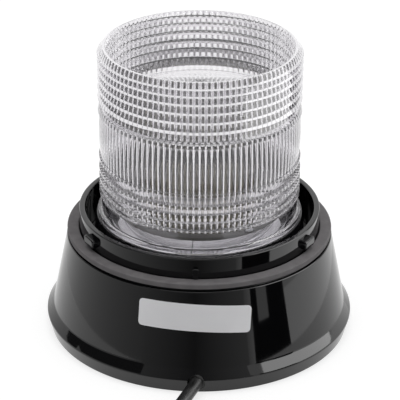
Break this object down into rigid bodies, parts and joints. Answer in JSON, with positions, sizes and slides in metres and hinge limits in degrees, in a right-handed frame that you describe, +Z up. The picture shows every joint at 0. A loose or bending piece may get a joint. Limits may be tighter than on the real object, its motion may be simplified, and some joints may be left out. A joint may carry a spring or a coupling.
{
  "type": "flashing beacon",
  "caption": "Flashing beacon with its dome off: black cone base with bayonet collar and gasket, clear fluted drum lens over a flash tube, and a supply cord.",
  "frame": {"origin": "middle of the foot, on the surface that it stands on", "axes": "+Z up along the axis of the lens and base; the cord leaves towards -Y, which is the front"},
  "size_m": [0.164, 0.2864, 0.1573],
  "materials": {
    "housing_plastic": "gloss",
    "gasket_rubber": "matte",
    "carrier_plastic": "satin",
    "lens_clear": "gloss",
    "plate_plastic": "matte",
    "steel": "satin",
    "insert_brass": "satin",
    "board_laminate": "satin",
    "bright_aluminium": "polished",
    "dull_zinc": "satin",
    "holder_phenolic": "satin",
    "white_nylon": "satin",
    "tube_glass": "gloss",
    "nickel": "satin",
    "can_sleeve": "gloss",
    "ferrite": "matte",
    "copper": "satin",
    "coil_resin": "gloss",
    "film_resin": "gloss",
    "chip_plastic": "matte",
    "resistor_lacquer": "satin",
    "terminal_plastic": "satin",
    "cord_sheath": "satin",
    "red_insulation": "satin",
    "black_insulation": "satin",
    "tie_nylon": "satin"
  },
  "bodies": {
    "housing": {"base_housing": "housing_plastic", "dome_collar": "housing_plastic", "dome_gasket": "gasket_rubber", "base_plate": "plate_plastic", "base_plate_screws": "steel", "mounting_inserts": "insert_brass", "lens_carrier": "carrier_plastic", "lens_carrier_screws": "steel", "circuit_board": "board_laminate", "board_screws": "steel", "reflector_spacers": "white_nylon", "reflector_plate": "dull_zinc", "reflector_band": "bright_aluminium", "reflector_screws": "steel", "tube_holder": "holder_phenolic", "flash_tube": "tube_glass", "tube_end_caps": "nickel", "trigger_wire": "nickel", "storage_capacitor": "can_sleeve", "transformer_core": "ferrite", "transformer_winding": "copper", "trigger_coil": "coil_resin", "film_capacitor": "film_resin", "heat_sink": "bright_aluminium", "power_transistor": "chip_plastic", "control_chip": "chip_plastic", "resistors": "resistor_lacquer", "terminal_block": "terminal_plastic", "cable_grommet": "gasket_rubber", "inner_cable": "cord_sheath", "cable_clamp": "white_nylon", "cable_clamp_screws": "steel", "core_red": "red_insulation", "core_black": "black_insulation", "supply_cable": "cord_sheath", "cable_coil": "cord_sheath", "coil_tie": "tie_nylon", "lead_red": "red_insulation", "lead_black": "black_insulation"},
    "lens": {"fresnel_lens": "lens_clear"}
  },
  "joints": [
    {"name": "lens_twist", "type": "hinge", "parent": "housing", "child": "lens", "pos_m": [0, 0, 0.064], "axis": [0, 0, 1], "range_deg": [0, 18]}
  ]
}
